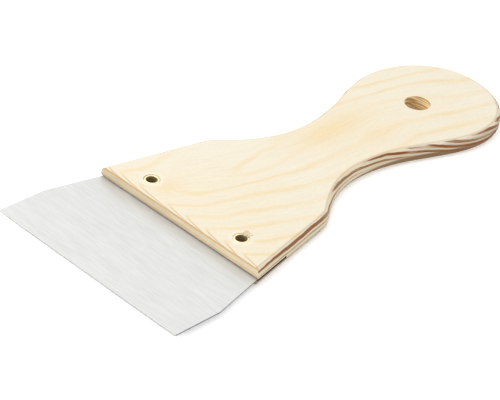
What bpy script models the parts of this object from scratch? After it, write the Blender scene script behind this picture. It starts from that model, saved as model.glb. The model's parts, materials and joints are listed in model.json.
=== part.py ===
"""Flexible putty knife: a spring steel blade riveted into the sawn kerf of a flat wooden handle.

Axes: X runs from the blade's edge (-X) to the tail of the handle (+X), Y across the blade, Z up.
The origin is below the middle of the knife, on the flat underside of the handle. Metres.
"""
import math

import bmesh
import bpy
from mathutils import Matrix, Vector

# Whole knife
TOTAL_LENGTH = 0.2716
EDGE_X = -TOTAL_LENGTH / 2
CLEARANCE = 0.0003

# Blade
BLADE_WIDTH = 0.120
BLADE_THICKNESS = 0.0006
BLADE_PARALLEL_LENGTH = 0.0272
BLADE_HEIGHT = 0.0034
TANG_DEPTH = 0.0188
TANG_INSET = 0.0006

# Handle, with stations measured from the blade's edge
HANDLE_THICKNESS = 0.0091
HANDLE_FRONT = 0.0577
FRONT_HALF_WIDTH = 0.0535
SHOULDER = (0.1175, 0.0409)
NECK = (0.1640, 0.0219)
KNOB_LEFT = (0.2290, 0.0368)
KNOB_RIGHT = (0.2345, 0.0390)
SHOULDER_RADIUS = 0.0035
SHOULDER_FALL_DEG = -37.7
EDGE_RADIUS = 0.0030
EDGE_SEGMENTS = 5
SAW_ALLOWANCE = 0.0120
KERF_DEPTH = 0.0236
KERF_SLACK = 0.0003
HANG_HOLE_STATION = 0.2270
HANG_HOLE_RADIUS = 0.0068

# Tubular rivets
RIVET_STATION = 0.0692
RIVET_OFFSET = 0.0304
RIVET_BORE_RADIUS = 0.0028
RIVET_WALL = 0.0004
RIVET_RIM_RADIUS = 0.0040
RIVET_SINK = 0.0001

# How far the outline's curve handles reach: metres at the neck's front, shares of a stretch elsewhere
FALL_REACH = 0.0165
NECK_FRONT_REACH = 0.0190
NECK_REACH = 0.41
SWELL_REACH = 0.32
KNOB_REACH = 0.60
ELLIPSE_REACH = 0.5523

# Fineness of the solids
OUTLINE_STEPS = 14
ROUND_STEPS = 48
RIM_STEPS = 6
WELD = 1e-6
FLAT_ANGLE = math.radians(0.05)
EDGE_ANGLE = math.radians(60)

# How far a cutter runs past the wood
CUT_MARGIN = 0.05


def x_at(station):
    """World X of a station measured back from the blade's edge."""
    return EDGE_X + station


def clear_scene():
    for old in list(bpy.data.objects):
        bpy.data.objects.remove(old, do_unlink=True)


def new_collection(name):
    group = bpy.data.collections.new(name)
    bpy.context.scene.collection.children.link(group)
    return group


def new_material(name, colour, metallic, roughness):
    material = bpy.data.materials.new(name)
    material.use_nodes = True
    shader = material.node_tree.nodes["Principled BSDF"]
    shader.inputs["Base Color"].default_value = (*colour, 1.0)
    shader.inputs["Metallic"].default_value = metallic
    shader.inputs["Roughness"].default_value = roughness
    return material


def mesh_from_curve(curve_object, name, group):
    """Turn an outline curve into a welded mesh object that keeps the curve's place."""
    depsgraph = bpy.context.evaluated_depsgraph_get()
    mesh = bpy.data.meshes.new_from_object(curve_object.evaluated_get(depsgraph))
    work = bmesh.new()
    work.from_mesh(mesh)
    bmesh.ops.remove_doubles(work, verts=work.verts, dist=WELD)
    bmesh.ops.dissolve_limit(work, angle_limit=FLAT_ANGLE, verts=work.verts, edges=work.edges)
    work.to_mesh(mesh)
    work.free()
    solid = bpy.data.objects.new(name, mesh)
    solid.matrix_world = curve_object.matrix_world.copy()
    group.objects.link(solid)
    bpy.data.objects.remove(curve_object, do_unlink=True)
    return solid


def plate_curve(name, thickness, spline_type):
    """An empty filled outline curve, centred on its own thickness."""
    data = bpy.data.curves.new(name, "CURVE")
    data.dimensions = "2D"
    data.fill_mode = "BOTH"
    data.extrude = thickness / 2
    data.resolution_u = OUTLINE_STEPS
    spline = data.splines.new(spline_type)
    spline.use_cyclic_u = True
    plate = bpy.data.objects.new(name, data)
    bpy.context.scene.collection.objects.link(plate)
    return plate, spline


def cut(solid, cutter):
    """Take the cutter's shape out of the solid."""
    boolean = solid.modifiers.new("cut " + cutter.name, "BOOLEAN")
    boolean.operation = "DIFFERENCE"
    boolean.solver = "EXACT"
    boolean.object = cutter


def hide_cutter(cutter, group):
    for owner in list(cutter.users_collection):
        owner.objects.unlink(cutter)
    group.objects.link(cutter)
    cutter.hide_render = True
    cutter.display_type = "WIRE"
    return cutter


def box_cutter(name, low, high, group):
    size = Vector(high) - Vector(low)
    middle = (Vector(high) + Vector(low)) / 2
    bpy.ops.mesh.primitive_cube_add(size=1.0, location=middle)
    cutter = bpy.context.object
    cutter.name = name
    cutter.data.transform(Matrix.Diagonal((*size, 1.0)))
    return hide_cutter(cutter, group)


def turned(name, profile, place, group, ring=False):
    """A body of revolution about Z from (radius, height) points. A ring's profile closes on itself."""
    work = bmesh.new()
    verts = [work.verts.new((radius, 0.0, height)) for radius, height in profile]
    for here, after in zip(verts, verts[1:]):
        work.edges.new((here, after))
    if ring:
        work.edges.new((verts[-1], verts[0]))
    mesh = bpy.data.meshes.new(name)
    work.to_mesh(mesh)
    work.free()
    body = bpy.data.objects.new(name, mesh)
    body.location = place
    group.objects.link(body)
    screw = body.modifiers.new("turn", "SCREW")
    screw.steps = ROUND_STEPS
    screw.render_steps = ROUND_STEPS
    screw.use_merge_vertices = True
    screw.merge_threshold = WELD
    screw.use_smooth_shade = True
    return body


def plug_cutter(name, profile, place, group):
    """A turned plug whose profile runs from the axis out and back, top to bottom."""
    body = turned(name, profile, place, group)
    return hide_cutter(body, group)


def flank_slope():
    """How fast the flank and the blade's taper in line with it narrow, per metre of length."""
    return (SHOULDER[1] - FRONT_HALF_WIDTH) / (SHOULDER[0] - HANDLE_FRONT)


def outline_side(knob_point):
    """Points of one side of the handle's outline, front to tail: point, handle in, handle out."""
    along = Vector((1.0, 0.0))
    flank = Vector((1.0, flank_slope())).normalized()
    fall = Vector((math.cos(math.radians(SHOULDER_FALL_DEG)), math.sin(math.radians(SHOULDER_FALL_DEG))))
    shoulder = Vector(SHOULDER)
    front = shoulder + flank * ((HANDLE_FRONT - SAW_ALLOWANCE - SHOULDER[0]) / flank.x)
    turn_in = shoulder - flank * SHOULDER_RADIUS
    turn_out = shoulder + fall * SHOULDER_RADIUS
    third = (turn_in - front) / 3
    neck = Vector(NECK)
    knob = Vector(knob_point)
    swell = along * (knob.x - neck.x)
    tail = along * (TOTAL_LENGTH - knob.x)
    return [
        (front, front, front + third),
        (turn_in, turn_in - third, turn_in + flank * SHOULDER_RADIUS * ELLIPSE_REACH),
        (turn_out, turn_out - fall * SHOULDER_RADIUS * ELLIPSE_REACH, turn_out + fall * FALL_REACH),
        (neck, neck - along * NECK_FRONT_REACH, neck + swell * NECK_REACH),
        (knob, knob - swell * SWELL_REACH, knob + tail * KNOB_REACH),
    ]


def handle_outline():
    """The whole outline: +Y side, tail, then the -Y side, whose swell is a little fuller."""
    left = outline_side(KNOB_LEFT)
    right = outline_side(KNOB_RIGHT)
    mirror = Vector((1.0, -1.0))
    tail = Vector((TOTAL_LENGTH, 0.0))
    tail_point = (
        tail,
        tail + Vector((0.0, KNOB_LEFT[1] * ELLIPSE_REACH)),
        tail - Vector((0.0, KNOB_RIGHT[1] * ELLIPSE_REACH)),
    )
    return left + [tail_point] + [
        (point * mirror, out * mirror, into * mirror) for point, into, out in reversed(right)
    ]


def make_handle(group, cutters):
    curve, spline = plate_curve("handle_outline", HANDLE_THICKNESS, "BEZIER")
    points = handle_outline()
    spline.bezier_points.add(len(points) - 1)
    for bezier, (place, into, out) in zip(spline.bezier_points, points):
        bezier.handle_left_type = "FREE"
        bezier.handle_right_type = "FREE"
        bezier.co = (x_at(place.x), place.y, 0.0)
        bezier.handle_left = (x_at(into.x), into.y, 0.0)
        bezier.handle_right = (x_at(out.x), out.y, 0.0)
    curve.location.z = HANDLE_THICKNESS / 2
    handle = mesh_from_curve(curve, "handle", group)
    rounding = handle.modifiers.new("rounded edges", "BEVEL")
    rounding.width = EDGE_RADIUS
    rounding.segments = EDGE_SEGMENTS
    rounding.limit_method = "ANGLE"
    rounding.angle_limit = EDGE_ANGLE
    rounding.use_clamp_overlap = False

    front = x_at(HANDLE_FRONT)
    side = BLADE_WIDTH
    low = -HANDLE_THICKNESS
    high = 2 * HANDLE_THICKNESS
    ahead = front - CUT_MARGIN
    cut(handle, box_cutter("front_saw_cut", (ahead, -side, low), (front, side, high), cutters))
    half_kerf = BLADE_THICKNESS / 2 + CLEARANCE
    kerf_low = (ahead, -side, BLADE_HEIGHT - half_kerf)
    kerf_high = (front + KERF_DEPTH, side, BLADE_HEIGHT + half_kerf + KERF_SLACK)
    cut(handle, box_cutter("blade_kerf", kerf_low, kerf_high, cutters))
    hole = [(0.0, high), (HANG_HOLE_RADIUS, high), (HANG_HOLE_RADIUS, low), (0.0, low)]
    cut(handle, plug_cutter("hanging_hole", hole, (x_at(HANG_HOLE_STATION), 0.0, 0.0), cutters))
    for side_name, sign in (("left", 1), ("right", -1)):
        place = (x_at(RIVET_STATION), sign * RIVET_OFFSET, 0.0)
        cut(handle, plug_cutter("rivet_seat_" + side_name, rivet_seat_profile(), place, cutters))
    return handle


def rivet_heights():
    """Height of the rivet's lower and upper crown."""
    return RIVET_SINK, HANDLE_THICKNESS + RIVET_SINK / 2


def rim_roll_radius():
    return (RIVET_RIM_RADIUS - RIVET_BORE_RADIUS) / 2


def rivet_seat_profile():
    """Stepped hole in the wood: a clear hole for the shank and a shallow seat for each rim."""
    lower, upper = rivet_heights()
    shank = RIVET_BORE_RADIUS + RIVET_WALL + CLEARANCE
    rim = RIVET_RIM_RADIUS + CLEARANCE
    seat = rim_roll_radius() + CLEARANCE
    beyond = HANDLE_THICKNESS
    return [
        (0.0, upper + beyond), (rim, upper + beyond), (rim, upper - seat), (shank, upper - seat),
        (shank, lower + seat), (rim, lower + seat), (rim, lower - beyond), (0.0, lower - beyond),
    ]


def rivet_profile():
    """Closed section of the rivet's wall: a tube whose two ends are rolled over into rims."""
    lower, upper = rivet_heights()
    roll = rim_roll_radius()
    centre = RIVET_BORE_RADIUS + roll
    shank = RIVET_BORE_RADIUS + RIVET_WALL
    angles = [math.pi * step / RIM_STEPS for step in range(RIM_STEPS + 1)]
    top = [(centre - roll * math.cos(a), upper - roll + roll * math.sin(a)) for a in angles]
    bottom = [(centre + roll * math.cos(a), lower + roll - roll * math.sin(a)) for a in angles]
    return top + [(shank, upper - roll), (shank, lower + roll)] + bottom


def make_rivet(name, sign, group):
    place = (x_at(RIVET_STATION), sign * RIVET_OFFSET, 0.0)
    return turned(name, rivet_profile(), place, group, ring=True)


def blade_half_outline():
    """Corners of the blade on the +Y side, from the edge to the end of the tang."""
    half = BLADE_WIDTH / 2
    inset = FRONT_HALF_WIDTH - TANG_INSET
    tang_end = HANDLE_FRONT + TANG_DEPTH
    return [
        (0.0, half),
        (BLADE_PARALLEL_LENGTH, half),
        (HANDLE_FRONT, inset),
        (tang_end, inset + flank_slope() * TANG_DEPTH),
    ]


def make_blade(group, cutters):
    curve, spline = plate_curve("blade_outline", BLADE_THICKNESS, "POLY")
    half = blade_half_outline()
    corners = half + [(station, -y) for station, y in reversed(half)]
    spline.points.add(len(corners) - 1)
    for point, (station, y) in zip(spline.points, corners):
        point.co = (x_at(station), y, 0.0, 1.0)
    curve.location.z = BLADE_HEIGHT
    blade = mesh_from_curve(curve, "blade", group)
    radius = RIVET_BORE_RADIUS + RIVET_WALL + CLEARANCE
    reach = HANDLE_THICKNESS
    punch = [(0.0, reach), (radius, reach), (radius, -reach), (0.0, -reach)]
    for side_name, sign in (("left", 1), ("right", -1)):
        place = (x_at(RIVET_STATION), sign * RIVET_OFFSET, BLADE_HEIGHT)
        cut(blade, plug_cutter("rivet_punch_" + side_name, punch, place, cutters))
    return blade


def main():
    clear_scene()
    knife = new_collection("flexible_putty_knife")
    cutters = new_collection("cutters")
    pine = new_material("pine", (0.93, 0.83, 0.64), 0.0, 0.62)
    steel = new_material("spring_steel", (0.78, 0.78, 0.77), 1.0, 0.32)
    brass = new_material("brass", (0.72, 0.55, 0.26), 1.0, 0.30)

    make_handle(knife, cutters).data.materials.append(pine)
    make_blade(knife, cutters).data.materials.append(steel)
    for name, sign in (("rivet_left", 1), ("rivet_right", -1)):
        make_rivet(name, sign, knife).data.materials.append(brass)


main()
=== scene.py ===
"""Flexible putty knife: the finished pieces and materials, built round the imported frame."""

import json
import math
import random

import bmesh
import bpy
from bpy.props import FloatProperty, FloatVectorProperty, IntProperty, PointerProperty
from bpy.types import Operator, Panel, PropertyGroup
from mathutils import Euler, Matrix, Vector


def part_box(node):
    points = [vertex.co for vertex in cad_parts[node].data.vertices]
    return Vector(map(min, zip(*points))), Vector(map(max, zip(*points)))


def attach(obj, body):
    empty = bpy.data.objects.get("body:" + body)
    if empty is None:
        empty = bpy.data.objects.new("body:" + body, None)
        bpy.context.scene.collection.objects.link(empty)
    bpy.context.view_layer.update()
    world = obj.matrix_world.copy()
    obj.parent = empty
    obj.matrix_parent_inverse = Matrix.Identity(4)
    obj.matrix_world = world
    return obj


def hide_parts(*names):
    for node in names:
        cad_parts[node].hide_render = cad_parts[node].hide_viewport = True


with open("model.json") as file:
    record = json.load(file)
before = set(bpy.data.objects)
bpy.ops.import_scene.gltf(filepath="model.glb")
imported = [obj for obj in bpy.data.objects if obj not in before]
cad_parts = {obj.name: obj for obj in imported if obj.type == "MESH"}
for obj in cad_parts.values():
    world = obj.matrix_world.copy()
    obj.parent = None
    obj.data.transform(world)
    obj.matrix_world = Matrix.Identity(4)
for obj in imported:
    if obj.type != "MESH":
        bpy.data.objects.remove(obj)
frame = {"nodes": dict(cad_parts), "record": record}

bl_info = {
    "name": "Putty Knife Maker",
    "version": (1, 0, 0),
    "blender": (4, 5, 0),
    "location": "View3D > Sidebar > Putty Knife",
    "description": "Finishes a flexible putty knife: pine handle, spring steel blade, brass rivets",
    "category": "Add Mesh",
}

# ---------------------------------------------------------------- the frame and the shapes

# Lengths are in metres, as the frame's are.
BODY = "root"
BLADE_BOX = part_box("blade")
HANDLE_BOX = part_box("handle")
RIVET_BOXES = {name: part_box(name) for name in ("rivet_left", "rivet_right")}
WELD = 0.000001
FLAT_ANGLE = math.radians(0.05)
SHARP_ANGLE = math.radians(35.0)
# Clearance round the blade and the rivets in the frame, and what is left of it at a rivet's rim.
SEAT_GAP = 0.0003
RIM_GAP = 0.00003
# Share of the blade's thickness that grinding leaves at the working edge.
GROUND_TIP = 0.55
# Steps round the half circle of a rolled rim, and how quickly the dent in the right rim deepens.
CURL_STEPS = 14
DENT_STEEPNESS = 1.6
# Ranges for the torn fibres: length and width as shares of the settings, place aside and start as
# shares of the rim's radius, turn in degrees.
FIBRE_LENGTHS = (0.6, 1.0)
FIBRE_WIDTHS = (0.6, 1.4)
FIBRE_ASIDES = (-0.5, 0.75)
FIBRE_STARTS = (0.45, 0.8)
FIBRE_TURNS = (-14.0, 14.0)
# How much farther back a fibre starts for each step aside, and how many facets it has.
FIBRE_LAG = 0.3
FIBRE_FACETS = 6
# Width of the camera's sensor, in millimetres.
SENSOR_WIDTH = 36.0
WHITE = (1.0, 1.0, 1.0, 1.0)

# ---------------------------------------------------------------- the board's grain

# The grain is laid out in millimetres: along the knife from the blade's working edge, across it from
# its middle line, and up from the underside. The scales of its noises are in turns for each millimetre.
MM_PER_M = 1000.0
# The growth ring that runs the length of the board's face: (distance along, distance across).
LEADING_RING = [
    (50, 32), (60, 25), (68, 18.5), (77, 12), (89, 7.5), (102, 2.5), (119, -4), (140, -8),
    (160, -9), (186, -9), (204, -8.5), (216, -12), (230, -15), (246, -20), (260, -24), (275, -28),
]
# Swells in the rings of the face: centre, reach and height in rings.
RING_SWELLS = [
    ((131.0, 40.0, 0.0), (48.0, 22.5, 1.0), -3.0),
    ((115.0, 8.0, 0.0), (40.0, 7.8, 1.0), 0.85),
    ((215.0, 11.5, 0.0), (60.0, 12.2, 1.0), -0.7),
    ((82.0, 42.0, 0.0), (22.0, 20.0, 1.0), -0.33),
]
# Broad resinous patches on the face: centre, reach and strength.
WARM_PATCHES = [
    ((172.0, 9.0, 0.0), (27.0, 8.5, 1.0), 0.85),
    ((188.0, -7.0, 0.0), (13.0, 5.5, 1.0), 0.6),
    ((70.0, 21.0, 0.0), (8.0, 7.0, 1.0), 0.6),
]
# Where the outline of the face's eye fades out: centre, reach and strength.
FADED_PATCHES = [
    ((101.0, 11.0, 0.0), (8.0, 7.0, 1.0), 0.75),
    ((150.0, 12.0, 0.0), (9.0, 6.0, 1.0), 0.6),
]
# The eased front edge of the face: its width, how far aside the rings sweep across it, and how
# sharply; the distances from the front at which ring lines and the border line grow strong.
FRONT_EASE = 3.8
FRONT_SWEEP = 19.0
FRONT_SWEEP_POWER = 1.6
FRONT_LINES = (FRONT_EASE, 1.0)
FRONT_BORDER = (0.7, 0.2)
# Wood pressed pale round a rivet: the radii where it starts and is full, and its tool marks' spacing.
PRESSED_WOOD = (6.8, 5.2)
TOOL_MARKS = 0.9
# Rings that have dived below the face's edge: (distance along, rings).
RING_DIVE = [
    (50, 0), (114, 0), (126, 0.22), (140, 0.96), (163, 1.55), (196, 2.7), (222, 4.2), (243, 5.2),
    (254, 6.3), (275, 7.4),
]
# The rings tilt across the board: where across it they start to, and by how many rings for each
# millimetre.
TILT_START = -53.0
RING_TILT = -0.0043
# Stretches of the board over which its sides change, from the first distance along to the second.
WIDE_LINES_GROW = (54.0, 90.0)
LINES_UNBROKEN = (140.0, 105.0)
THIN_LINES_GROW = (140.0, 190.0)
RIM_RISES = (150.0, 200.0)
WIDE_LINES_SINK = (165.0, 235.0)
TAIL_DARKENS = (170.0, 215.0)
# Heights between which the lines of the sides change, from the first height to the second.
WIDE_LINES_WIDEN = (3.5, 6.8)
WIDE_LINES_DARKEN = (3.4, 6.4)
THIN_LINES_DARKEN = (8.4, 5.0)
# Height of the dark rim along the underside, before and after it rises.
RIM_HEIGHTS = (2.9, 4.6)
# The sawn front: heights of its browner foot and its top line, and where painted light makes it lighter
# across.
FRONT_FOOT = (6.4, 4.4)
FRONT_TOP_LINE = (8.2, 8.7)
FRONT_PAINTED_LIGHT = (52.0, -30.0)
# How far a surface faces up (1 is level) where face turns to side, where the wide lines come in, and
# where the tan line of painted edge light along the eased edge starts and ends.
FACE_TO_SIDE = (0.80, 0.40)
SIDE_LINES_SHOW = (0.92, 0.78)
PAINTED_EDGE_LIGHT_STARTS = (0.995, 0.97)
PAINTED_EDGE_LIGHT_ENDS = (0.87, 0.93)
# How far a surface faces down where it turns to the lower face.
FACE_BELOW = (0.55, 1.0)
# How far a surface faces the blade (-1 is squarely) where side turns to sawn front.
SIDE_TO_FRONT = (-0.45, -0.70)
# Values between which nearly all of a noise lies.
NOISE_LOW = 0.3
NOISE_HIGH = 0.7


def screen_colour(red, green, blue):
    """A colour as shown on a screen, 0 to 255, as the linear values that nodes take."""
    return tuple(
        (c / 255 / 12.92) if c <= 10 else ((c / 255 + 0.055) / 1.055) ** 2.4
        for c in (red, green, blue)
    )


# ---------------------------------------------------------------- settings


def length_setting(name, description, default):
    """A setting in metres."""
    return FloatProperty(
        name=name, description=description, default=default, min=0.0, unit="LENGTH", precision=5
    )


def colour_setting(name, description, red, green, blue):
    """A colour setting, its default given as on a screen."""
    return FloatVectorProperty(
        name=name,
        description=description,
        default=screen_colour(red, green, blue),
        size=3,
        min=0.0,
        max=1.0,
        subtype="COLOR",
    )


class PUTTYKNIFE_PG_handle(PropertyGroup):
    edge_softening: length_setting(
        "Edge Softening", "Radius rubbed onto the sawn edges", 0.00022
    )
    face_ring_spacing: length_setting(
        "Face Ring Spacing", "Distance between growth rings on the face", 0.01275
    )
    side_ring_spacing: length_setting(
        "Side Ring Spacing", "Thickness of one growth ring, seen from the side", 0.0026
    )
    first_ring_height: length_setting(
        "First Ring Height", "Height of the top ring line on the side", 0.0079
    )
    hole_band: length_setting("Hole Band", "Width of drilled wood round the hanging hole", 0.00025)
    face_colour: colour_setting("Face", "Early wood on the planed face", 199, 192, 175)
    band_colour: colour_setting("Face Bands", "Late wood on the planed face", 200, 180, 141)
    pressed_colour: colour_setting("Pressed Wood", "Wood pressed pale round the rivets", 200, 195, 179)
    # The sides are darker than the face partly by the wood's own tone and partly by painted shade.
    side_tone_and_shade_colour: colour_setting("Sides", "Early wood on the rounded sides", 192, 182, 156)
    line_colour: colour_setting("Side Lines", "Late wood on the rounded sides", 116, 59, 6)
    thin_line_colour: colour_setting("Thin Lines", "Thin lines low on the sides", 120, 92, 58)
    front_colour: colour_setting("Sawn Front", "Early wood on the sawn front", 186, 171, 143)
    front_shade: colour_setting("Front Shade", "Browner wood low on the sawn front", 166, 142, 112)
    front_line_colour: colour_setting("Front Line", "Late wood along the front edge", 168, 122, 56)
    # The slot's colour is painted shade: the wood is made dark where the slot lies in shadow.
    kerf_painted_shade_colour: colour_setting("Sawn Slot", "Shaded wood inside the slot", 100, 87, 76)
    # The torn fibres are painted darker than the face they came from, as painted shade.
    fibre_tone_and_shade_colour: colour_setting("Torn Fibres", "Fibres torn over the right rivet", 188, 172, 142)
    bore_colour: colour_setting("Drilled Wood", "Torn fibres inside the hanging hole", 230, 204, 154)
    bore_shade: colour_setting("Drilled Shade", "Dark fibres inside the hanging hole", 160, 126, 84)


class PUTTYKNIFE_PG_blade(PropertyGroup):
    edge_softening: length_setting("Edge Softening", "Radius left on the sheared edges", 0.00006)
    ground_width: length_setting("Ground Width", "Width of the ground strip at the edge", 0.0008)
    steel_colour: colour_setting("Steel", "Satin face of the spring steel", 201, 202, 200)
    # The sheared edge's dark colour is partly the steel's own and partly painted shade.
    sheared_and_shade_colour: colour_setting("Sheared Edge", "Edge left by the shear", 84, 82, 84)


class PUTTYKNIFE_PG_rivets(PropertyGroup):
    steps: IntProperty(name="Steps", description="Faces round each rivet", default=72, min=16)
    wall: length_setting("Wall", "Thickness of the rivet's tube", 0.0004)
    bore_radius: length_setting("Bore Radius", "Inside radius of the rivet's tube", 0.0028)
    dent: length_setting("Dent", "How far the right rim is pressed down under the fibres", 0.00024)
    brass_colour: colour_setting("Brass", "Rolled rims", 248, 234, 178)
    # The inside of the tube is painted dark: partly tarnish, partly painted shade.
    tarnish_and_shade_colour: colour_setting("Tarnish", "Inside of the tube", 140, 120, 86)


class PUTTYKNIFE_PG_fibres(PropertyGroup):
    count: IntProperty(name="Count", description="How many fibres are torn", default=30, min=1)
    seed: IntProperty(name="Seed", description="Which tangle of fibres is drawn", default=7, min=0)
    length: length_setting("Length", "Longest fibre", 0.0036)
    width: length_setting("Width", "Usual width of a fibre", 0.0009)
    thickness: length_setting("Thickness", "Thickness of a fibre", 0.00018)


class PUTTYKNIFE_PG_stage(PropertyGroup):
    floor_size: length_setting("Floor Size", "Side of the floor", 6.0)
    floor_colour: colour_setting("Floor", "Pale studio floor", 250, 250, 250)
    sky_strength: FloatProperty(
        name="Sky", description="Strength of the light all round", default=1.24, min=0.0
    )
    lamp_energy: FloatProperty(
        name="Lamp", description="Power of the softbox", default=23.5, unit="POWER"
    )
    glow: FloatProperty(
        name="Floor Glow", description="Light that the floor gives by itself", default=0.16, min=0.0
    )
    softbox_width: length_setting("Softbox Width", "Longer side of the softbox", 1.6)
    softbox_height: length_setting("Softbox Height", "Shorter side of the softbox", 1.2)
    softbox_place: FloatVectorProperty(
        name="Softbox Place",
        description="Where the softbox hangs",
        default=(-0.95, 0.95, 0.95),
        size=3,
        subtype="TRANSLATION",
        unit="LENGTH",
    )
    lens: FloatProperty(name="Lens", description="Focal length in millimetres", default=154.5)
    camera_place: FloatVectorProperty(
        name="Camera Place",
        description="Where the camera stands",
        default=(-0.67259, -0.56871, 0.57303),
        size=3,
        subtype="TRANSLATION",
        unit="LENGTH",
    )
    camera_turn: FloatVectorProperty(
        name="Camera Turn",
        description="Tilt, roll and heading of the camera",
        default=tuple(math.radians(angle) for angle in (56.0352, -5.4032, -44.8923)),
        size=3,
        subtype="EULER",
    )


# ---------------------------------------------------------------- nodes


class Bench:
    """Adds nodes to one tree and wires them as they are added."""

    def __init__(self, tree):
        self.tree = tree

    def add(self, kind, inputs=None, **settings):
        node = self.tree.nodes.new(kind)
        for name, value in settings.items():
            setattr(node, name, value)
        for name, value in (inputs or {}).items():
            self.feed(node.inputs[name], value)
        return node

    def feed(self, socket, value):
        """Links a socket's value to the socket, or sets a plain value on it."""
        if isinstance(value, bpy.types.NodeSocket):
            self.tree.links.new(value, socket)
        else:
            socket.default_value = value

    def place_group(self, tree, inputs):
        node = self.add("ShaderNodeGroup", node_tree=tree)
        for name, value in inputs.items():
            self.feed(node.inputs[name], value)
        return node.outputs

    def place(self):
        """The piece's own coordinates, in metres."""
        return self.add("ShaderNodeTexCoord").outputs["Object"]

    def millimetres(self, start=(0.0, 0.0, 0.0), turn=(0.0, 0.0, 0.0)):
        """The piece's own coordinates, in millimetres, turned and counted from start."""
        inputs = {"Vector": self.place(), "Location": start, "Rotation": turn}
        inputs["Scale"] = (MM_PER_M, MM_PER_M, MM_PER_M)
        return self.add("ShaderNodeMapping", inputs).outputs["Vector"]

    def board(self):
        """The board's coordinates, in which its grain is laid out."""
        return self.millimetres(start=(-BLADE_BOX[0].x * MM_PER_M, 0.0, 0.0))

    def vector(self, x, y, z=0.0):
        return self.add("ShaderNodeCombineXYZ", {"X": x, "Y": y, "Z": z}).outputs["Vector"]

    def maths(self, operation, first, second=None, clamp=False):
        inputs = {0: first} if second is None else {0: first, 1: second}
        return self.add("ShaderNodeMath", inputs, operation=operation, use_clamp=clamp).outputs[0]

    def plus(self, first, second, clamp=False):
        return self.maths("ADD", first, second, clamp)

    def times(self, first, second, clamp=False):
        return self.maths("MULTIPLY", first, second, clamp)

    def vector_maths(self, operation, first, second=None, output="Vector"):
        inputs = {0: first} if second is None else {0: first, 1: second}
        return self.add("ShaderNodeVectorMath", inputs, operation=operation).outputs[output]

    def fit(self, value, low, high, to_low=0.0, to_high=1.0, kind="SMOOTHSTEP"):
        """Value from low..high to to_low..to_high; low may be above high."""
        inputs = {"Value": value, "From Min": low, "From Max": high}
        inputs.update({"To Min": to_low, "To Max": to_high})
        return self.add("ShaderNodeMapRange", inputs, interpolation_type=kind).outputs["Result"]

    def linear(self, value, low, high, to_low=0.0, to_high=1.0):
        """The same as fit, in a straight line."""
        return self.fit(value, low, high, to_low, to_high, kind="LINEAR")

    def spread(self, noise, to_low, to_high):
        """A noise, spread over to_low..to_high."""
        return self.linear(noise, NOISE_LOW, NOISE_HIGH, to_low, to_high)

    def curve(self, value, points):
        """The height, at value, of the smooth curve through points."""
        places = [x for x, _ in points]
        heights = [y for _, y in points]
        low, high = min(heights), max(heights)
        share = self.linear(value, places[0], places[-1])
        node = self.add("ShaderNodeFloatCurve", {"Value": share})
        line = node.mapping.curves[0]
        for index, (x, y) in enumerate(points):
            place = (x - places[0]) / (places[-1] - places[0])
            height = (y - low) / (high - low)
            # A new curve comes with two points.
            if index < 2:
                line.points[index].location = (place, height)
            else:
                line.points.new(place, height)
        node.mapping.update()
        return self.linear(node.outputs["Value"], 0.0, 1.0, low, high)

    def noise(self, vector, scale, detail=2.0, roughness=0.5):
        inputs = {"Vector": vector, "Scale": scale, "Detail": detail, "Roughness": roughness}
        return self.add("ShaderNodeTexNoise", inputs).outputs["Fac"]

    def streaks(self, vector, length, width, roughness=0.6):
        """Fine streaks along the first axis of vector."""
        tree = bpy.data.node_groups.get("Streaks") or streak_group()
        inputs = {"Vector": vector, "Length": length, "Width": width, "Roughness": roughness}
        return self.place_group(tree, inputs)["Streaks"]

    def bands(self, rings, rise, fall):
        """Late Wood and Ring Chance for a count of rings."""
        tree = bpy.data.node_groups.get("Ring Bands") or ring_band_group()
        return self.place_group(tree, {"Rings": rings, "Rise": rise, "Fall": fall})

    def swell(self, vector, centre, reach, height):
        """A smooth swell round centre."""
        tree = bpy.data.node_groups.get("Swell") or swell_group()
        inputs = {"Vector": vector, "Centre": centre, "Reach": reach, "Height": height}
        return self.place_group(tree, inputs)["Swell"]

    def mix(self, factor, first, second):
        """First turning to second as factor goes from 0 to 1; each a socket or a plain colour."""
        node = self.add("ShaderNodeMix", data_type="RGBA")
        # The node's colour sockets share their names with its other ones, so they go by number.
        self.feed(node.inputs[0], factor)
        for socket, value in ((6, first), (7, second)):
            if not isinstance(value, bpy.types.NodeSocket):
                value = (*value, 1.0)
            self.feed(node.inputs[socket], value)
        return node.outputs[2]

    def tinted(self, colour, shade):
        """Colour made darker or lighter by shade."""
        if not isinstance(colour, bpy.types.NodeSocket):
            colour = tuple(colour)
        node = self.add("ShaderNodeVectorMath", {0: colour}, operation="SCALE")
        self.feed(node.inputs["Scale"], shade)
        return node.outputs["Vector"]

    def bump(self, height, strength, distance):
        inputs = {"Height": height, "Strength": strength, "Distance": distance}
        return self.add("ShaderNodeBump", inputs).outputs["Normal"]


def new_group(name, inputs, outputs):
    """A shader node group with named sockets: its bench, its inputs' values and its outputs."""
    tree = bpy.data.node_groups.new(name, "ShaderNodeTree")
    for label, kind, default in inputs:
        socket = tree.interface.new_socket(label, in_out="INPUT", socket_type=kind)
        socket.default_value = default
    for label, kind in outputs:
        tree.interface.new_socket(label, in_out="OUTPUT", socket_type=kind)
    bench = Bench(tree)
    return bench, bench.add("NodeGroupInput").outputs, bench.add("NodeGroupOutput").inputs


def swell_group():
    """A smooth swell round one place."""
    bench, given, result = new_group(
        "Swell",
        [
            ("Vector", "NodeSocketVector", (0.0, 0.0, 0.0)),
            ("Centre", "NodeSocketVector", (0.0, 0.0, 0.0)),
            ("Reach", "NodeSocketVector", (1.0, 1.0, 1.0)),
            ("Height", "NodeSocketFloat", 1.0),
        ],
        [("Swell", "NodeSocketFloat")],
    )
    away = bench.vector_maths("SUBTRACT", given["Vector"], given["Centre"])
    away = bench.vector_maths("DIVIDE", away, given["Reach"])
    square = bench.vector_maths("DOT_PRODUCT", away, away, output="Value")
    fall = bench.maths("EXPONENT", bench.times(square, -1.0))
    bench.feed(result["Swell"], bench.times(fall, given["Height"]))
    return bench.tree


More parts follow.
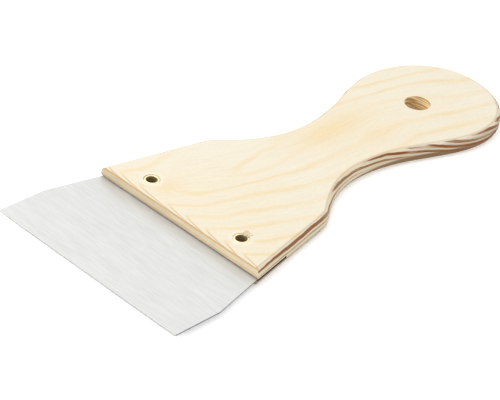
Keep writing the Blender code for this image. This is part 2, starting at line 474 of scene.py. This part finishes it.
def ring_band_group():
    """Late wood in each growth ring: it deepens over Rise, peaks at whole rings, fades over Fall."""
    bench, given, result = new_group(
        "Ring Bands",
        [
            ("Rings", "NodeSocketFloat", 0.0),
            ("Rise", "NodeSocketFloat", 0.3),
            ("Fall", "NodeSocketFloat", 0.2),
        ],
        [("Late Wood", "NodeSocketFloat"), ("Ring Chance", "NodeSocketFloat")],
    )
    part = bench.maths("FRACT", given["Rings"])
    start = bench.maths("SUBTRACT", 1.0, given["Rise"])
    rise = bench.fit(part, start, 1.0)
    fall = bench.fit(part, 0.0, given["Fall"], 1.0, 0.0)
    bench.feed(result["Late Wood"], bench.maths("MAXIMUM", rise, fall))
    ring = bench.maths("ROUND", given["Rings"])
    chance = bench.add("ShaderNodeTexWhiteNoise", {"W": ring}, noise_dimensions="1D")
    bench.feed(result["Ring Chance"], chance.outputs["Value"])
    return bench.tree


def streak_group():
    """Fine streaks along the first axis of Vector."""
    bench, given, result = new_group(
        "Streaks",
        [
            ("Vector", "NodeSocketVector", (0.0, 0.0, 0.0)),
            ("Length", "NodeSocketFloat", 20.0),
            ("Width", "NodeSocketFloat", 0.4),
            ("Roughness", "NodeSocketFloat", 0.6),
        ],
        [("Streaks", "NodeSocketFloat")],
    )
    size = bench.vector(given["Length"], given["Width"], given["Width"])
    place = bench.vector_maths("DIVIDE", given["Vector"], size)
    bench.feed(result["Streaks"], bench.noise(place, 1.0, 3.0, given["Roughness"]))
    return bench.tree


class Grain:
    """The board's places and rings, laid out once in a material's tree."""

    def __init__(self, bench, settings):
        self.bench = bench
        self.settings = settings
        self.board = bench.board()
        self.x, self.y, self.z = bench.add("ShaderNodeSeparateXYZ", {0: self.board}).outputs
        self.flat = bench.vector(self.x, self.y)
        normal = bench.add("ShaderNodeTexCoord").outputs["Normal"]
        facing = bench.add("ShaderNodeSeparateXYZ", {0: normal}).outputs
        below = bench.fit(bench.times(facing["Z"], -1.0), *FACE_BELOW)
        self.up = bench.maths("MAXIMUM", facing["Z"], below)
        self.ahead = facing["X"]

    def wobble(self, size, height):
        """Slow unevenness of the rings."""
        return self.bench.spread(self.bench.noise(self.board, 1.0 / size), -height, height)

    def from_rivet(self):
        """Distance from the nearer rivet."""
        bench = self.bench
        away = []
        for low, high in RIVET_BOXES.values():
            middle = (low + high) / 2
            centre = ((middle.x - BLADE_BOX[0].x) * MM_PER_M, middle.y * MM_PER_M, 0.0)
            away.append(bench.vector_maths("DISTANCE", self.flat, centre, output="Value"))
        return bench.maths("MINIMUM", *away)

    def from_front(self):
        """Distance from the sawn front."""
        front = (HANDLE_BOX[0].x - BLADE_BOX[0].x) * MM_PER_M
        return self.bench.maths("SUBTRACT", self.x, front)

    def face_rings(self):
        """Over the planed faces: ring count, and distance aside from the leading ring."""
        bench = self.bench
        eased = bench.linear(self.from_front(), FRONT_EASE, 0.0)
        uneven = bench.spread(bench.noise(self.board, 0.06, 1.0), 0.7, 1.3)
        sweep = bench.times(bench.maths("POWER", eased, FRONT_SWEEP_POWER), FRONT_SWEEP)
        side = bench.maths("SUBTRACT", self.y, bench.curve(self.x, LEADING_RING))
        side = bench.plus(side, bench.times(sweep, uneven))
        rings = bench.maths("DIVIDE", side, self.settings.face_ring_spacing * MM_PER_M)
        for centre, reach, height in RING_SWELLS:
            rings = bench.plus(rings, bench.swell(self.flat, centre, reach, height))
        return bench.plus(rings, self.wobble(22.0, 0.10)), side

    def side_rings(self):
        """Ring count over the sides and ends, where the rings are cut almost edge on."""
        bench, settings = self.bench, self.settings
        height = bench.maths("SUBTRACT", self.z, settings.first_ring_height * MM_PER_M)
        rings = bench.maths("DIVIDE", height, settings.side_ring_spacing * MM_PER_M)
        rings = bench.plus(rings, bench.curve(self.x, RING_DIVE))
        tilt = bench.times(bench.maths("SUBTRACT", self.y, TILT_START), RING_TILT)
        rings = bench.plus(rings, tilt)
        rings = bench.plus(rings, self.wobble(16.0, 0.12))
        return bench.plus(rings, self.wobble(1.6, 0.02))


# ---------------------------------------------------------------- materials


def new_material(name, roughness, metallic=0.0):
    """A material with a Principled shader: the material, its bench and the shader's inputs."""
    material = bpy.data.materials.new(name)
    material.use_nodes = True
    shader = material.node_tree.nodes["Principled BSDF"].inputs
    shader["Roughness"].default_value = roughness
    shader["Metallic"].default_value = metallic
    return material, Bench(material.node_tree), shader


def face_late_wood(grain, bands, pressed):
    """How much warm late wood shows on the planed faces."""
    bench = grain.bench
    chance = bench.linear(bands["Ring Chance"], 0.0, 1.0, 0.55, 0.9)
    late = bench.times(bands["Late Wood"], chance)
    patches = bench.noise(grain.board, 0.03, 1.0)
    patches = bench.fit(patches, NOISE_LOW, NOISE_HIGH, 0.55, 1.15)
    late = bench.times(late, patches, clamp=True)
    for patch in FADED_PATCHES:
        kept = bench.maths("SUBTRACT", 1.0, bench.swell(grain.flat, *patch))
        late = bench.times(late, kept)
    for patch in WARM_PATCHES:
        late = bench.maths("MAXIMUM", late, bench.swell(grain.flat, *patch))
    return bench.times(late, bench.maths("SUBTRACT", 1.0, pressed), clamp=True)


def planed_face(grain, settings):
    """Soft warm bands on the planed faces, and their relief: colour, relief."""
    bench = grain.bench
    rings, side = grain.face_rings()
    eased = bench.fit(grain.from_front(), *FRONT_LINES)
    rise = bench.linear(eased, 0.0, 1.0, 0.26, 0.22)
    fall = bench.linear(eased, 0.0, 1.0, 0.22, 0.13)
    bands = bench.bands(rings, rise, fall)
    far = grain.from_rivet()
    pressed = bench.fit(far, *PRESSED_WOOD)
    late = face_late_wood(grain, bands, pressed)
    colour = bench.mix(late, settings.face_colour, settings.band_colour)
    warm = bench.fit(bench.noise(grain.board, 0.018), 0.35, 0.65, 0.0, 0.16)
    colour = bench.mix(warm, colour, settings.band_colour)
    colour = bench.mix(bench.times(pressed, 0.7), colour, settings.pressed_colour)
    edge_line = bench.times(bands["Late Wood"], bench.times(eased, 0.85))
    border = bench.fit(grain.from_front(), *FRONT_BORDER, 0.0, 0.55)
    edge_line = bench.maths("MAXIMUM", edge_line, border)
    colour = bench.mix(edge_line, colour, settings.front_line_colour)
    fibres = bench.streaks(bench.vector(grain.x, side, grain.z), 14.0, 0.36)
    mottle = bench.noise(grain.board, 0.55, 3.0, 0.7)
    shade = bench.times(bench.spread(fibres, 0.95, 1.035), bench.spread(mottle, 0.972, 1.024))
    marks = bench.maths("SINE", bench.times(far, math.tau / TOOL_MARKS))
    marks = bench.times(bench.times(marks, pressed), 0.5)
    return bench.tinted(colour, shade), bench.plus(fibres, marks)


def rounded_side(grain, settings):
    """Ring lines cut almost edge on: colour between the wide lines, their mask, fibres."""
    bench = grain.bench
    rings = grain.side_rings()
    across = bench.times(rings, settings.side_ring_spacing * MM_PER_M)
    along = bench.vector(grain.x, across)
    sunk = bench.plus(grain.z, bench.linear(grain.x, *WIDE_LINES_SINK, 0.0, 2.6))
    growth = bench.fit(grain.x, *WIDE_LINES_GROW, 0.5, 1.0)
    rise = bench.times(bench.fit(sunk, *WIDE_LINES_WIDEN, 0.14, 0.60), growth)
    fall = bench.times(bench.fit(sunk, *WIDE_LINES_WIDEN, 0.10, 0.32), growth)
    bands = bench.bands(rings, rise, fall)
    late = bench.fit(bands["Late Wood"], 0.15, 0.60)
    late = bench.times(late, bench.fit(sunk, *WIDE_LINES_DARKEN, 0.2, 1.0))
    chance = bench.linear(bands["Ring Chance"], 0.0, 1.0, 0.8, 1.0)
    late = bench.times(late, chance, clamp=True)
    unbroken = bench.fit(bench.streaks(along, 26.0, 2.4), 0.36, 0.52, 0.35, 1.0)
    unbroken = bench.maths("MAXIMUM", unbroken, bench.fit(grain.x, *LINES_UNBROKEN))
    late = bench.times(late, unbroken)
    thin = bench.bands(bench.times(rings, 2.7), 0.38, 0.18)
    thin_chance = bench.fit(grain.x, *THIN_LINES_GROW, 0.0, 0.35)
    thin_chance = bench.plus(thin["Ring Chance"], thin_chance, clamp=True)
    thin_late = bench.times(thin["Late Wood"], thin_chance)
    thin_late = bench.times(thin_late, bench.fit(grain.z, *THIN_LINES_DARKEN, 0.3, 0.8))
    below_rim = bench.maths("SUBTRACT", bench.fit(grain.x, *RIM_RISES, *RIM_HEIGHTS), grain.z)
    rim = bench.fit(below_rim, 0.0, 0.9, 0.0, 0.95)
    thin_late = bench.maths("MAXIMUM", thin_late, rim)
    colour = bench.mix(thin_late, settings.side_tone_and_shade_colour, settings.thin_line_colour)
    fibres = bench.streaks(along, 45.0, 0.42)
    shade = bench.linear(fibres, 0.32, 0.68, 0.80, 1.12)
    shade = bench.times(shade, bench.fit(grain.x, *TAIL_DARKENS, 1.0, 0.86))
    return bench.tinted(colour, shade), late, fibres


def sawn_front(grain, settings):
    """The colour of the sawn front: a browner foot, and one thin ring line along the top."""
    bench = grain.bench
    streaks = bench.streaks(bench.vector(grain.y, grain.z, grain.x), 9.0, 0.5)
    height = bench.plus(grain.z, bench.spread(streaks, -0.5, 0.5))
    foot = bench.fit(height, *FRONT_FOOT, 0.0, 0.85)
    colour = bench.mix(foot, settings.front_colour, settings.front_shade)
    shade = bench.spread(streaks, 0.86, 1.12)
    # Painted light: the sawn front grows lighter from the far side to the near side.
    shade = bench.times(shade, bench.linear(grain.y, *FRONT_PAINTED_LIGHT, 0.88, 1.04))
    line = bench.fit(streaks, 0.3, 0.6, 0.1, 0.8)
    line = bench.times(bench.fit(grain.z, *FRONT_TOP_LINE), line)
    return bench.mix(line, bench.tinted(colour, shade), settings.front_line_colour)


def planed_pine(settings):
    """Bare pine: pale bands on the faces, thin dark ring lines on the sides."""
    material, bench, shader = new_material("planed_pine", roughness=0.62)
    shader["Specular IOR Level"].default_value = 0.22
    grain = Grain(bench, settings)
    face, face_relief = planed_face(grain, settings)
    side, late, side_relief = rounded_side(grain, settings)
    # Where face turns to side the colour darkens: partly the wood's own tone, partly painted shade.
    turned = bench.fit(grain.up, *FACE_TO_SIDE)
    colour = bench.mix(turned, face, side)
    # Painted light: a tan line along the eased edge, where the face turns to the side, standing in for
    # how light falls there.
    eased = bench.fit(grain.up, *PAINTED_EDGE_LIGHT_STARTS)
    eased = bench.times(eased, bench.fit(grain.up, *PAINTED_EDGE_LIGHT_ENDS))
    colour = bench.mix(bench.times(eased, 0.3), colour, settings.front_line_colour)
    late = bench.times(late, bench.fit(grain.up, *SIDE_LINES_SHOW))
    colour = bench.mix(late, colour, settings.line_colour)
    front = bench.fit(grain.ahead, *SIDE_TO_FRONT)
    colour = bench.mix(front, colour, sawn_front(grain, settings))
    bench.feed(shader["Base Color"], colour)
    relief = bench.mix(turned, face_relief, side_relief)
    bench.feed(shader["Normal"], bench.bump(relief, 0.35, 0.0001))
    return material


def drilled_pine(settings):
    """Torn end grain inside the hanging hole, streaked along the rings."""
    material, bench, shader = new_material("drilled_pine", roughness=0.8)
    grain = Grain(bench, settings)
    across = bench.times(grain.side_rings(), settings.side_ring_spacing * MM_PER_M)
    across = bench.plus(across, bench.times(grain.x, 0.22))
    torn = bench.streaks(bench.vector(grain.x, across), 9.0, 1.0)
    colour = bench.mix(bench.fit(torn, 0.38, 0.60), settings.bore_shade, settings.bore_colour)
    bench.feed(shader["Base Color"], colour)
    bench.feed(shader["Normal"], bench.bump(torn, 0.8, 0.0004))
    return material


def torn_pine(settings):
    """Loose fibres lifted from the face, painted darker than the face as shade."""
    material, bench, shader = new_material("torn_pine", roughness=0.8)
    marks = bench.streaks(bench.board(), 4.0, 0.3)
    colour = bench.tinted(settings.fibre_tone_and_shade_colour, bench.spread(marks, 0.80, 1.05))
    bench.feed(shader["Base Color"], colour)
    return material


def sawn_kerf_painted_shade(settings):
    """Rough wood inside the slot that holds the blade, painted dark as the shade in the slot."""
    material, bench, shader = new_material("sawn_kerf_painted_shade", roughness=0.9)
    marks = bench.streaks(bench.board(), 6.0, 0.4)
    colour = bench.tinted(settings.kerf_painted_shade_colour, bench.spread(marks, 0.7, 1.2))
    bench.feed(shader["Base Color"], colour)
    return material


def satin_steel(settings):
    """Cold rolled spring steel with fine brushed lines along the working edge."""
    material, bench, shader = new_material("satin_steel", roughness=0.48, metallic=0.66)
    turned = bench.millimetres(turn=(0.0, 0.0, math.radians(-90.0)))
    fine = bench.streaks(turned, 13.0, 0.42, 0.7)
    broad = bench.streaks(turned, 60.0, 2.5, 0.5)
    both = bench.plus(bench.times(fine, 0.85), bench.times(broad, 0.15))
    shade = bench.linear(both, 0.35, 0.65, 0.88, 1.07)
    bench.feed(shader["Base Color"], bench.tinted(settings.steel_colour, shade))
    bench.feed(shader["Roughness"], bench.spread(fine, 0.44, 0.54))
    bench.feed(shader["Normal"], bench.bump(fine, 0.15, 0.00002))
    return material


def sheared_steel_and_shade(settings):
    """The rougher edge that the shear leaves; its dark colour is partly the sheared steel's own and
    partly painted shade.
    """
    material, bench, shader = new_material("sheared_steel_and_shade", roughness=0.55, metallic=0.6)
    marks = bench.noise(bench.place(), 1800.0)
    colour = bench.tinted(settings.sheared_and_shade_colour, bench.spread(marks, 0.92, 1.04))
    bench.feed(shader["Base Color"], colour)
    return material


def rolled_brass(settings):
    """Bright brass with faint tool rub."""
    material, bench, shader = new_material("rolled_brass", roughness=0.36, metallic=1.0)
    rub = bench.noise(bench.place(), 1200.0, 3.0)
    colour = bench.tinted(settings.brass_colour, bench.spread(rub, 0.86, 1.04))
    bench.feed(shader["Base Color"], colour)
    bench.feed(shader["Roughness"], bench.spread(rub, 0.28, 0.46))
    bench.feed(shader["Normal"], bench.bump(rub, 0.2, 0.00005))
    return material


def tarnished_and_shaded_brass(settings):
    """The dull inside of the rivet's tube: tarnish, and painted shade that darkens the hollow."""
    material, bench, shader = new_material("tarnished_and_shaded_brass", roughness=0.65, metallic=0.5)
    stains = bench.noise(bench.place(), 900.0, 3.0)
    colour = bench.tinted(settings.tarnish_and_shade_colour, bench.spread(stains, 0.6, 1.3))
    bench.feed(shader["Base Color"], colour)
    return material


# ---------------------------------------------------------------- pieces


def merged_copy(node):
    """A frame node's solid, its loose triangles merged and its flat faces made whole."""
    bm = bmesh.new()
    bm.from_mesh(frame["nodes"][node].data)
    bmesh.ops.remove_doubles(bm, verts=bm.verts, dist=WELD)
    bmesh.ops.dissolve_limit(bm, angle_limit=FLAT_ANGLE, verts=bm.verts, edges=bm.edges)
    return bm


def outer_corners(bm):
    """Edges where two faces meet at a sharp outward corner."""
    return [
        edge
        for edge in bm.edges
        if edge.is_manifold and edge.calc_face_angle_signed() > SHARP_ANGLE
    ]


def soften(bm, edges, width, segments):
    """Rounds the edges off."""
    bmesh.ops.bevel(
        bm,
        geom=edges,
        offset=width,
        offset_type="OFFSET",
        segments=segments,
        profile=0.5,
        affect="EDGES",
        material=-1,
        clamp_overlap=True,
    )


def finished_piece(bm, name, materials, nodes):
    """Makes the bmesh a smooth-shaded piece that rides on the knife, and hides the nodes whose place it
    takes.
    """
    if not bm.faces:
        raise RuntimeError(name + " has no faces")
    mesh = bpy.data.meshes.new(name)
    bm.to_mesh(mesh)
    bm.free()
    for material in materials:
        mesh.materials.append(material)
    mesh.shade_smooth()
    mesh.set_sharp_from_angle(angle=SHARP_ANGLE)
    piece = bpy.data.objects.new(name, mesh)
    bpy.context.scene.collection.objects.link(piece)
    shading = piece.modifiers.new("Even Shading", "WEIGHTED_NORMAL")
    shading.keep_sharp = True
    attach(piece, BODY)
    if nodes:
        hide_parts(*nodes)


def hanging_hole():
    """Centre and radius of the hanging hole; the record's opening is the square inside it."""
    low, high = (Vector(corner) for corner in frame["record"]["physics"]["openings"][0]["box_m"])
    return ((low + high) / 2).to_2d(), (high - low).to_2d().length / 2


def press_round_rim(bm, box):
    """Presses the wood of the rivet's seat up against its rim."""
    low, high = box
    centre = ((low + high) / 2).to_2d()
    rim = (high.x - low.x) / 2
    for vert in bm.verts:
        away = vert.co.to_2d() - centre
        if rim < away.length < rim + SEAT_GAP * 2:
            scale = 1.0 - (SEAT_GAP - RIM_GAP) / away.length
            vert.co.xy = centre + away * scale


class PUTTYKNIFE_OT_handle(Operator):
    """Softens the sawn edges of the pine board and gives it its grain"""

    bl_idname = "puttyknife.handle"
    bl_label = "Pine Handle"

    def execute(self, context):
        settings = context.scene.puttyknife_handle
        bm = merged_copy("handle")
        soften(bm, outer_corners(bm), settings.edge_softening, segments=3)
        for box in RIVET_BOXES.values():
            press_round_rim(bm, box)
        centre, radius = hanging_hole()
        # Faces wholly between these heights are the slot's.
        slot_low = BLADE_BOX[0].z - SEAT_GAP - WELD
        slot_high = BLADE_BOX[1].z + SEAT_GAP * 2 + WELD
        # Wood: 0 planed, 1 drilled, 2 sawn slot, painted dark as shade.
        for face in bm.faces:
            middle = face.calc_center_median()
            heights = [vert.co.z for vert in face.verts]
            if (middle.to_2d() - centre).length < radius + settings.hole_band:
                face.material_index = 1
            elif min(heights) > slot_low and max(heights) < slot_high:
                face.material_index = 2
        materials = [planed_pine(settings), drilled_pine(settings), sawn_kerf_painted_shade(settings)]
        finished_piece(bm, "pine_handle", materials, ["handle"])
        return {"FINISHED"}


class PUTTYKNIFE_OT_blade(Operator):
    """Grinds the working edge of the blade and softens its sheared edges"""

    bl_idname = "puttyknife.blade"
    bl_label = "Spring Steel Blade"

    def execute(self, context):
        settings = context.scene.puttyknife_blade
        low, high = BLADE_BOX
        bm = merged_copy("blade")
        # Upright faces are the sheared edge, painted dark partly as shade.
        for face in bm.faces:
            if abs(face.normal.z) < 0.5:
                face.material_index = 1
        line = (low.x + settings.ground_width, 0.0, 0.0)
        geometry = [*bm.verts, *bm.edges, *bm.faces]
        bmesh.ops.bisect_plane(bm, geom=geometry, plane_co=line, plane_no=(1.0, 0.0, 0.0))
        tip = [vert for vert in bm.verts if vert.co.x < low.x + WELD]
        space = Matrix.Translation((0.0, 0.0, -(low.z + high.z) / 2))
        bmesh.ops.scale(bm, vec=(1.0, 1.0, GROUND_TIP), space=space, verts=tip)
        soften(bm, outer_corners(bm), settings.edge_softening, segments=2)
        materials = [satin_steel(settings), sheared_steel_and_shade(settings)]
        finished_piece(bm, "steel_blade", materials, ["blade"])
        return {"FINISHED"}


def rivet_section(box, settings):
    """Half section of a rivet: a tube with both ends rolled over into rims."""
    low, high = box
    bore = settings.bore_radius
    curl = ((high.x - low.x) / 2 - bore) / 2
    centre = bore + curl
    shank = bore + settings.wall
    turns = [math.pi * step / CURL_STEPS for step in range(CURL_STEPS + 1)]
    top = [(centre - curl * math.cos(a), high.z - curl + curl * math.sin(a)) for a in turns]
    bottom = [(centre + curl * math.cos(a), low.z + curl - curl * math.sin(a)) for a in turns]
    return top + [(shank, high.z - curl), (shank, low.z + curl)] + bottom


def press_rim_down(bm, axis, top, settings):
    """Flattens the side of the rim that the torn fibres lie on."""
    for vert in bm.verts:
        away = (vert.co - axis).to_2d()
        ahead = max(0.0, away.x / away.length)
        weight = min(1.0, ahead * DENT_STEEPNESS) ** 2
        vert.co.z = min(vert.co.z, top - settings.dent * weight)


class PUTTYKNIFE_OT_rivets(Operator):
    """Turns the two hollow brass rivets"""

    bl_idname = "puttyknife.rivets"
    bl_label = "Brass Rivets"

    def execute(self, context):
        settings = context.scene.puttyknife_rivets
        materials = [rolled_brass(settings), tarnished_and_shaded_brass(settings)]
        for node in RIVET_BOXES:
            self.turn(node, settings, materials)
        return {"FINISHED"}

    def turn(self, node, settings, materials):
        """Spins one rivet round its axis from its half section."""
        low, high = RIVET_BOXES[node]
        axis = Vector(((low.x + high.x) / 2, (low.y + high.y) / 2, 0.0))
        bm = bmesh.new()
        section = [
            bm.verts.new(axis + Vector((radius, 0.0, height)))
            for radius, height in rivet_section(RIVET_BOXES[node], settings)
        ]
        edges = [bm.edges.new((a, b)) for a, b in zip(section, section[1:] + section[:1])]
        bmesh.ops.spin(
            bm,
            geom=[*section, *edges],
            cent=axis,
            axis=(0.0, 0.0, 1.0),
            angle=math.tau,
            steps=settings.steps,
            use_merge=True,
        )
        bmesh.ops.remove_doubles(bm, verts=bm.verts, dist=WELD)
        bmesh.ops.recalc_face_normals(bm, faces=bm.faces)
        # Brass: 0 bright, 1 tarnished and painted dark with shade inside the tube.
        for face in bm.faces:
            middle = face.calc_center_median()
            if (middle - axis).to_2d().length < settings.bore_radius + settings.wall / 4:
                face.material_index = 1
        if node == "rivet_right":
            press_rim_down(bm, axis, high.z, settings)
        finished_piece(bm, "brass_" + node, materials, [node])


class PUTTYKNIFE_OT_fibres(Operator):
    """Lays the fibres torn from the board over the rim of the right rivet"""

    bl_idname = "puttyknife.fibres"
    bl_label = "Torn Fibres"

    def execute(self, context):
        settings = context.scene.puttyknife_fibres
        low, high = RIVET_BOXES["rivet_right"]
        centre = (low + high) / 2
        rim = (high.x - low.x) / 2
        roll = random.Random(settings.seed)
        bm = bmesh.new()
        for _ in range(settings.count):
            length = settings.length * roll.uniform(*FIBRE_LENGTHS)
            width = settings.width * roll.uniform(*FIBRE_WIDTHS)
            side = roll.uniform(*FIBRE_ASIDES) * rim
            start = rim * roll.uniform(*FIBRE_STARTS) + abs(side) * FIBRE_LAG
            turn = math.radians(roll.uniform(*FIBRE_TURNS))
            place = (centre.x + start + length / 2, centre.y + side, high.z - settings.thickness / 2)
            # Each fibre tapers to a third of its width and is pressed flat.
            shape = (
                Matrix.Translation(place)
                @ Matrix.Rotation(turn, 4, "Z")
                @ Matrix.Diagonal((1.0, 1.0, settings.thickness / width, 1.0))
                @ Matrix.Rotation(math.radians(-90.0), 4, "Y")
            )
            bmesh.ops.create_cone(
                bm,
                cap_ends=True,
                segments=FIBRE_FACETS,
                radius1=width / 2,
                radius2=width / 6,
                depth=length,
                matrix=shape,
            )
        top = max(vert.co.z for vert in bm.verts)
        bmesh.ops.translate(bm, vec=(0.0, 0.0, high.z - WELD - top), verts=bm.verts)
        bmesh.ops.recalc_face_normals(bm, faces=bm.faces)
        handle = context.scene.puttyknife_handle
        finished_piece(bm, "torn_fibres", [torn_pine(handle)], [])
        return {"FINISHED"}


# ---------------------------------------------------------------- stage


class PUTTYKNIFE_OT_stage(Operator):
    """Lays the pale floor, lights it softly and sets the camera"""

    bl_idname = "puttyknife.stage"
    bl_label = "Studio Stage"

    def execute(self, context):
        settings = context.scene.puttyknife_stage
        self.floor(context.scene, settings)
        self.lights(context.scene, settings)
        self.camera(context.scene, settings)
        return {"FINISHED"}

    def floor(self, scene, settings):
        """A plain pale floor under the knife."""
        bm = bmesh.new()
        bmesh.ops.create_grid(
            bm,
            x_segments=1,
            y_segments=1,
            size=settings.floor_size / 2,
            matrix=Matrix.Translation((0.0, 0.0, HANDLE_BOX[0].z)),
        )
        mesh = bpy.data.meshes.new("floor")
        bm.to_mesh(mesh)
        bm.free()
        material, _, shader = new_material("studio_floor", roughness=0.9)
        shader["Base Color"].default_value = (*settings.floor_colour, 1.0)
        shader["Emission Color"].default_value = WHITE
        shader["Emission Strength"].default_value = settings.glow
        mesh.materials.append(material)
        floor = bpy.data.objects.new("floor", mesh)
        scene.collection.objects.link(floor)

    def lights(self, scene, settings):
        """Even light all round, and one softbox that faces the knife."""
        world = bpy.data.worlds.new("studio")
        world.use_nodes = True
        sky = world.node_tree.nodes["Background"]
        sky.inputs["Color"].default_value = WHITE
        sky.inputs["Strength"].default_value = settings.sky_strength
        scene.world = world
        lamp = bpy.data.lights.new("softbox", "AREA")
        lamp.shape = "RECTANGLE"
        lamp.size = settings.softbox_width
        lamp.size_y = settings.softbox_height
        lamp.energy = settings.lamp_energy
        softbox = bpy.data.objects.new("softbox", lamp)
        softbox.location = settings.softbox_place
        aim = -Vector(softbox.location)
        softbox.rotation_euler = aim.to_track_quat("-Z", "Y").to_euler()
        scene.collection.objects.link(softbox)
        scene.view_settings.view_transform = "Standard"

    def camera(self, scene, settings):
        """The camera, which becomes the scene's."""
        lens = bpy.data.cameras.new("camera")
        lens.lens = settings.lens
        lens.sensor_width = SENSOR_WIDTH
        camera = bpy.data.objects.new("camera", lens)
        camera.location = settings.camera_place
        camera.rotation_euler = Euler(settings.camera_turn)
        scene.collection.objects.link(camera)
        scene.camera = camera


# ---------------------------------------------------------------- add-on


class PUTTYKNIFE_PT_panel(Panel):
    """Makes the putty knife's pieces"""

    bl_idname = "PUTTYKNIFE_PT_panel"
    bl_label = "Putty Knife"
    bl_space_type = "VIEW_3D"
    bl_region_type = "UI"
    bl_category = "Putty Knife"

    def draw(self, context):
        for name, operator in STEPS:
            settings = getattr(context.scene, name)
            box = self.layout.box()
            for setting in settings.bl_rna.properties:
                if setting.identifier not in ("rna_type", "name"):
                    box.prop(settings, setting.identifier)
            box.operator(operator)


SETTINGS = {
    "puttyknife_handle": PUTTYKNIFE_PG_handle,
    "puttyknife_blade": PUTTYKNIFE_PG_blade,
    "puttyknife_rivets": PUTTYKNIFE_PG_rivets,
    "puttyknife_fibres": PUTTYKNIFE_PG_fibres,
    "puttyknife_stage": PUTTYKNIFE_PG_stage,
}
OPERATORS = (
    PUTTYKNIFE_OT_handle,
    PUTTYKNIFE_OT_blade,
    PUTTYKNIFE_OT_rivets,
    PUTTYKNIFE_OT_fibres,
    PUTTYKNIFE_OT_stage,
)
STEPS = [(name, operator.bl_idname) for name, operator in zip(SETTINGS, OPERATORS)]
CLASSES = (*SETTINGS.values(), *OPERATORS, PUTTYKNIFE_PT_panel)


def register():
    for cls in CLASSES:
        bpy.utils.register_class(cls)
    for name, group in SETTINGS.items():
        setattr(bpy.types.Scene, name, PointerProperty(type=group))


def unregister():
    for name in SETTINGS:
        delattr(bpy.types.Scene, name)
    for cls in reversed(CLASSES):
        bpy.utils.unregister_class(cls)


def main():
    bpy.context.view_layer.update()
    register()
    for operator in (
        bpy.ops.puttyknife.handle,
        bpy.ops.puttyknife.blade,
        bpy.ops.puttyknife.rivets,
        bpy.ops.puttyknife.fibres,
        bpy.ops.puttyknife.stage,
    ):
        operator()


if __name__ == "__main__":
    main()
